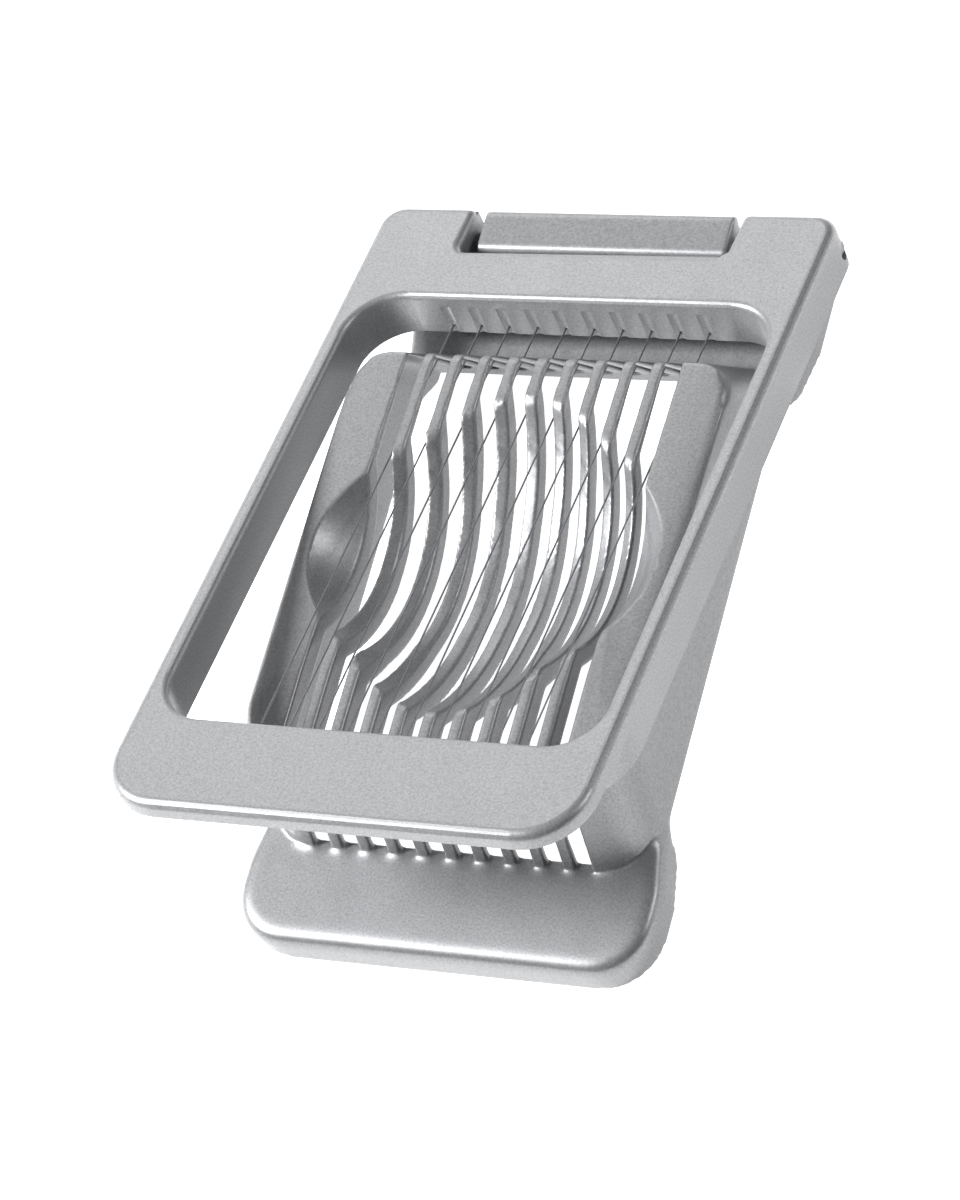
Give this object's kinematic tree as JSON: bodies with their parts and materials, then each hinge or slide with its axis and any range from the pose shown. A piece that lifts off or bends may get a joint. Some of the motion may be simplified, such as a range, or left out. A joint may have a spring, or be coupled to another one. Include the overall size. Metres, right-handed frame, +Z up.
{
  "type": "egg slicer",
  "caption": "Hand-held egg slicer: a slotted oval cradle on a cast base, with a hinged frame of parallel cutting wires that swings down through the slots.",
  "frame": {"origin": "on the table surface, in the middle of the base's width and length", "axes": "+Z up, +Y towards the hinge, +X to the right seen from the lip end"},
  "size_m": [0.0802, 0.1248, 0.0449],
  "materials": {
    "cast_base": "die-cast aluminium under a silver lacquer with fine sparkle, satin gloss",
    "cast_frame": "die-cast aluminium under a silver lacquer with fine sparkle, satin gloss",
    "pin_steel": "drawn stainless rod, cropped ends",
    "sleeve_steel": "crimped stainless tube",
    "wire_steel": "hard-drawn stainless wire"
  },
  "bodies": {
    "base_body": {"base": "cast_base"},
    "frame_body": {"cutter_frame": "cast_frame", "hinge_pin": "pin_steel", "front_sleeves": "sleeve_steel", "back_sleeves": "sleeve_steel", "wire_01": "wire_steel", "wire_02": "wire_steel", "wire_03": "wire_steel", "wire_04": "wire_steel", "wire_05": "wire_steel", "wire_06": "wire_steel", "wire_07": "wire_steel", "wire_08": "wire_steel", "wire_09": "wire_steel", "wire_10": "wire_steel"}
  },
  "joints": [
    {"name": "frame_hinge", "type": "hinge", "parent": "base_body", "child": "frame_body", "pos_m": [0, 0.05809, 0.0101], "axis": [-1, 0, 0], "range_deg": [-14.4, 83.6]}
  ]
}
